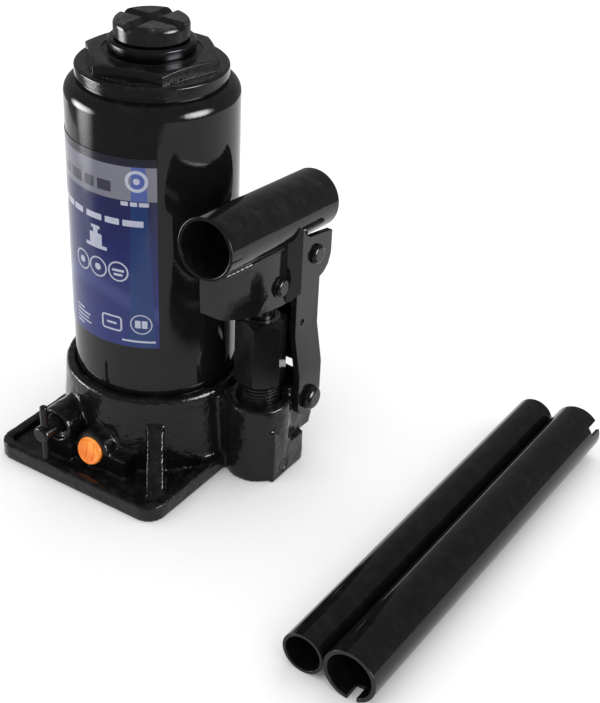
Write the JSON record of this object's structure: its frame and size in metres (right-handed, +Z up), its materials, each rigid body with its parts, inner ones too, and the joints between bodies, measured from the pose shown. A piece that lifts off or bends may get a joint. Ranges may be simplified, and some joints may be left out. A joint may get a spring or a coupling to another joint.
{
  "type": "hydraulic bottle jack",
  "caption": "Upright hydraulic bottle jack with an extension screw, a lever pump with a handle socket, and a handle in two tubes lying beside it.",
  "frame": {"origin": "centre of the ram's axis on the underside of the base, which is the floor", "axes": "+Z up along the ram, -Y is the side that the handle socket and the release valve face, +X is the pump's side"},
  "size_m": [0.245, 0.2163, 0.216],
  "materials": {
    "black_casting": "thick gloss enamel over a rough casting",
    "black_enamel": "gloss enamel",
    "dark_steel": "oiled ground steel",
    "bright_steel": "turned",
    "black_rubber": "matt",
    "copper": "dull",
    "label_print": "gloss print",
    "orange_plug": "moulded"
  },
  "bodies": {
    "jack_body": {"base_casting": "black_casting", "oil_tank": "black_enamel", "tank_bottom_gasket": "black_rubber", "tank_top_gasket": "black_rubber", "oil_filler_plug": "black_rubber", "tank_label": "label_print", "top_nut": "black_enamel", "pressure_cylinder": "bright_steel", "cylinder_washer": "copper", "ram_wiper": "black_rubber", "pump_cylinder": "black_enamel", "pump_washer": "copper", "plunger_seal": "black_rubber", "plunger_gland_ring": "bright_steel", "lug_pin": "black_enamel", "lug_pin_clip": "black_enamel", "release_ball": "bright_steel", "safety_valve_plug": "orange_plug", "safety_valve_ball": "bright_steel", "safety_valve_spring": "bright_steel", "safety_valve_screw": "bright_steel", "suction_ball": "bright_steel", "suction_way_plug": "bright_steel", "suction_screen": "copper", "discharge_ball": "bright_steel", "discharge_spring": "bright_steel", "discharge_plug": "bright_steel"},
    "ram": {"ram": "dark_steel", "piston_nut": "bright_steel", "piston_washer": "bright_steel", "piston_cup_seal": "black_rubber"},
    "screw_carrier": {"screw_stop_ring": "bright_steel"},
    "extension_screw": {"extension_screw": "black_enamel", "screw_stop_clip": "bright_steel"},
    "link": {"link_plate_outer": "black_enamel", "link_plate_inner": "black_enamel", "link_back_web": "black_enamel"},
    "handle_socket": {"handle_socket": "black_enamel", "socket_bracket": "black_enamel", "link_pin": "black_enamel", "link_pin_clip": "black_enamel", "plunger_pin": "black_enamel", "plunger_pin_clip": "black_enamel", "plunger_pin_washer_outer": "black_enamel", "plunger_pin_washer_inner": "black_enamel"},
    "pump_plunger": {"pump_plunger": "bright_steel"},
    "valve_carrier": {"release_valve_ring": "black_rubber"},
    "release_valve": {"release_valve_stem": "black_enamel", "release_cross_pin": "black_enamel"},
    "thin_rod": {"handle_rod_thin": "black_enamel"},
    "thick_rod": {"handle_rod_thick": "black_enamel"}
  },
  "joints": [
    {"name": "ram_lift", "type": "slide", "parent": "jack_body", "child": "ram", "axis": [0, 0, 1], "range_m": [0, 0.127]},
    {"name": "extension_travel", "type": "slide", "parent": "ram", "child": "screw_carrier", "axis": [0, 0, 1], "range_m": [0, 0.07]},
    {"name": "extension_turn", "type": "hinge", "parent": "screw_carrier", "child": "extension_screw", "pos_m": [0, 0, 0.2], "axis": [0, 0, 1], "range_deg": [0, 8400]},
    {"name": "link_swing", "type": "hinge", "parent": "jack_body", "child": "link", "pos_m": [0.06, 0.023, 0.036], "axis": [-1, 0, 0], "range_deg": [0, 0.78]},
    {"name": "socket_lever", "type": "hinge", "parent": "link", "child": "handle_socket", "pos_m": [0.06, 0.023, 0.115], "axis": [-1, 0, 0], "range_deg": [0, 48]},
    {"name": "plunger_stroke", "type": "slide", "parent": "jack_body", "child": "pump_plunger", "axis": [0, 0, 1], "range_m": [0, 0.01849]},
    {"name": "release_travel", "type": "slide", "parent": "jack_body", "child": "valve_carrier", "axis": [0, -1, 0], "range_m": [0, 0.00225]},
    {"name": "release_turn", "type": "hinge", "parent": "valve_carrier", "child": "release_valve", "pos_m": [-0.018, -0.0638, 0.024], "axis": [0, -1, 0], "range_deg": [0, 540]},
    {"name": "thin_rod_lift", "type": "slide", "parent": "jack_body", "child": "thin_rod", "axis": [0, 0, 1], "range_m": [0, 0.1]},
    {"name": "thick_rod_lift", "type": "slide", "parent": "jack_body", "child": "thick_rod", "axis": [0, 0, 1], "range_m": [0, 0.1]}
  ],
  "couplings": [
    {"joint": "extension_turn", "follows": "extension_travel", "rad_per_m": 2094.4},
    {"joint": "link_swing", "follows": "socket_lever", "ratio": 0.01625},
    {"joint": "plunger_stroke", "follows": "socket_lever", "m_per_rad": 0.02207},
    {"joint": "release_turn", "follows": "release_travel", "rad_per_m": 4188.8}
  ]
}
